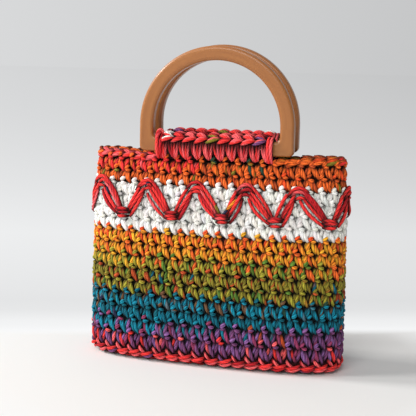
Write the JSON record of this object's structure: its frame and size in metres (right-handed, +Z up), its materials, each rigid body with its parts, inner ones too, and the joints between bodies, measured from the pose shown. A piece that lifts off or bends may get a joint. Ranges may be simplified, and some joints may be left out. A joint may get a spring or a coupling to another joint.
{
  "type": "crochet handbag",
  "caption": "Small oval-based crochet handbag in bands of coloured yarn, with a zigzag braid and a pair of wooden D handles in crochet casings.",
  "frame": {"origin": "on the floor, under the middle of the base", "axes": "+Z up, +X to the bag's right end as seen from the front, the front faces -Y"},
  "size_m": [0.216, 0.064, 0.2568],
  "materials": {
    "red_yarn": "matte",
    "rim_yarn": "matte",
    "purple_yarn": "matte",
    "teal_yarn": "matte",
    "green_yarn": "matte",
    "yellow_yarn": "matte",
    "white_yarn": "matte",
    "orange_yarn": "matte",
    "varnished_wood": "satin"
  },
  "bodies": {
    "bag": {"base_panel": "red_yarn", "purple_rounds": "purple_yarn", "teal_rounds": "teal_yarn", "green_rounds": "green_yarn", "yellow_rounds": "yellow_yarn", "white_rounds": "white_yarn", "orange_rounds": "orange_yarn", "rim_chain_left": "rim_yarn", "rim_chain_right": "rim_yarn", "zigzag_braid": "red_yarn", "front_handle_casing": "red_yarn", "rear_handle_casing": "red_yarn"},
    "front_handle": {"front_handle": "varnished_wood"},
    "rear_handle": {"rear_handle": "varnished_wood"}
  },
  "joints": [
    {"name": "front_handle_tilt", "type": "hinge", "parent": "bag", "child": "front_handle", "pos_m": [0, -0.01091, 0.17643], "axis": [1, 0, 0], "range_deg": [-4, 120]},
    {"name": "rear_handle_tilt", "type": "hinge", "parent": "bag", "child": "rear_handle", "pos_m": [0, 0.01091, 0.17793], "axis": [-1, 0, 0], "range_deg": [-4, 120]}
  ]
}
